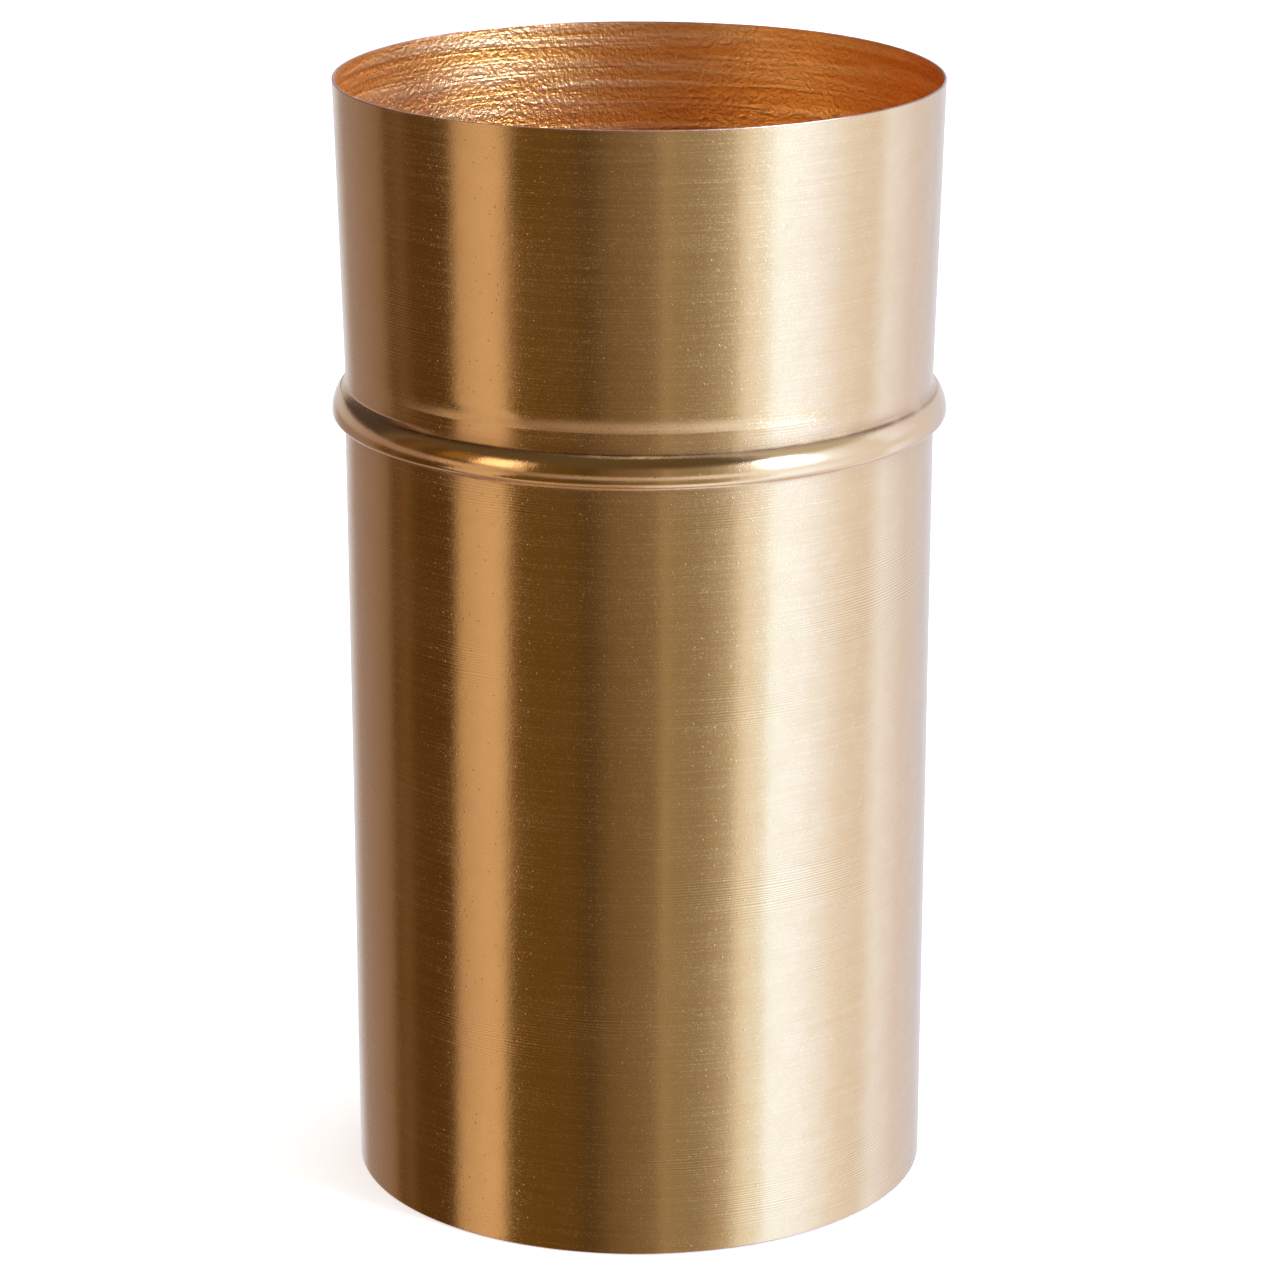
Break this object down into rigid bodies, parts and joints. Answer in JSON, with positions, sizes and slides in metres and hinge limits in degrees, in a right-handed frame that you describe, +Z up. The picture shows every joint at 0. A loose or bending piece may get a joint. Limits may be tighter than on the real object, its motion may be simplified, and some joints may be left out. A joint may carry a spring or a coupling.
{
  "type": "planter pot",
  "caption": "Tall round brass planter pot: a tapered lower tube, a flared upper collar and a raised bead ring at their joint, closed at the foot and open at the top.",
  "frame": {"origin": "centre of the foot, on the surface that the pot stands on", "axes": "+Z up along the pot's axis; the pot is round, so X and Y are level and free, and the foot pads lie at 45 degrees between them"},
  "size_m": [0.2068, 0.2068, 0.381],
  "materials": {
    "brass": "satin polished, fine lathe lines round the tube",
    "solder": "dull, filed",
    "rubber": "matt"
  },
  "bodies": {
    "root": {"lower_body": "brass", "upper_collar": "brass", "bead_ring": "brass", "base_disc": "brass", "bead_solder": "solder", "base_solder": "solder", "foot_pad_1": "rubber", "foot_pad_2": "rubber", "foot_pad_3": "rubber", "foot_pad_4": "rubber"}
  },
  "joints": []
}
